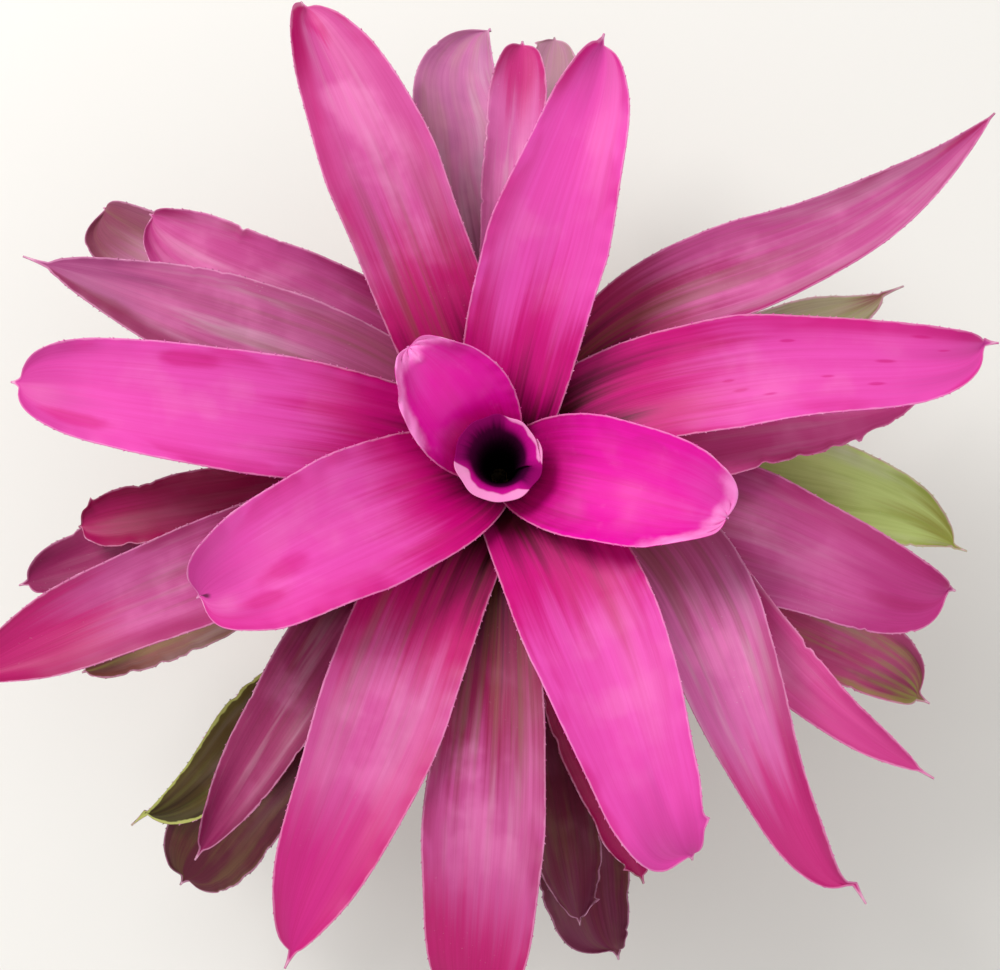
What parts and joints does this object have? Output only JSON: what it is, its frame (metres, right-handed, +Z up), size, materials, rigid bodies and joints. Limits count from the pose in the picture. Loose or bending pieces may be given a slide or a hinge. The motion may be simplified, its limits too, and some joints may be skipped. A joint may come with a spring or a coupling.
{
  "type": "neoregelia bromeliad",
  "caption": "Flat, open rosette of magenta and pink strap leaves round a rolled heart, rooted in a plain round clay pot.",
  "frame": {"origin": "centre of the pot's flat underside, on the stem's axis", "axes": "+Z up along the stem; +X and +Y level, with the rosette seen from above in the usual way"},
  "size_m": [0.512, 0.5107, 0.2617],
  "materials": {
    "pot_clay": "matte, gritty unglazed clay",
    "potting_mix": "matte, rough bark and grit",
    "stem": "matte, fibrous",
    "leaf_vivid": "satin, waxy, finely ridged along the leaf",
    "leaf_pink": "satin, waxy, finely ridged along the leaf",
    "leaf_dull": "satin, with a grey bloom",
    "leaf_old": "satin, mottled mauve, wine and olive",
    "leaf_green": "satin, green with mauve edges"
  },
  "bodies": {
    "root": {"pot": "pot_clay", "potting_mix": "potting_mix", "stem": "stem", "leaf_01": "leaf_vivid", "leaf_02": "leaf_vivid", "leaf_03": "leaf_vivid", "leaf_04": "leaf_pink", "leaf_05": "leaf_pink", "leaf_06": "leaf_pink", "leaf_07": "leaf_pink", "leaf_08": "leaf_pink", "leaf_09": "leaf_pink", "leaf_10": "leaf_pink", "leaf_11": "leaf_pink", "leaf_12": "leaf_dull", "leaf_13": "leaf_dull", "leaf_14": "leaf_dull", "leaf_15": "leaf_dull", "leaf_16": "leaf_dull", "leaf_17": "leaf_dull", "leaf_18": "leaf_dull", "leaf_19": "leaf_dull", "leaf_20": "leaf_dull", "leaf_21": "leaf_old", "leaf_22": "leaf_old", "leaf_23": "leaf_old", "leaf_24": "leaf_old", "leaf_25": "leaf_old", "leaf_26": "leaf_old", "leaf_27": "leaf_green", "leaf_28": "leaf_green", "leaf_29": "leaf_old", "leaf_30": "leaf_green", "leaf_31": "leaf_old", "leaf_32": "leaf_green", "leaf_33": "leaf_green", "leaf_34": "leaf_old", "leaf_35": "leaf_old"}
  },
  "joints": []
}
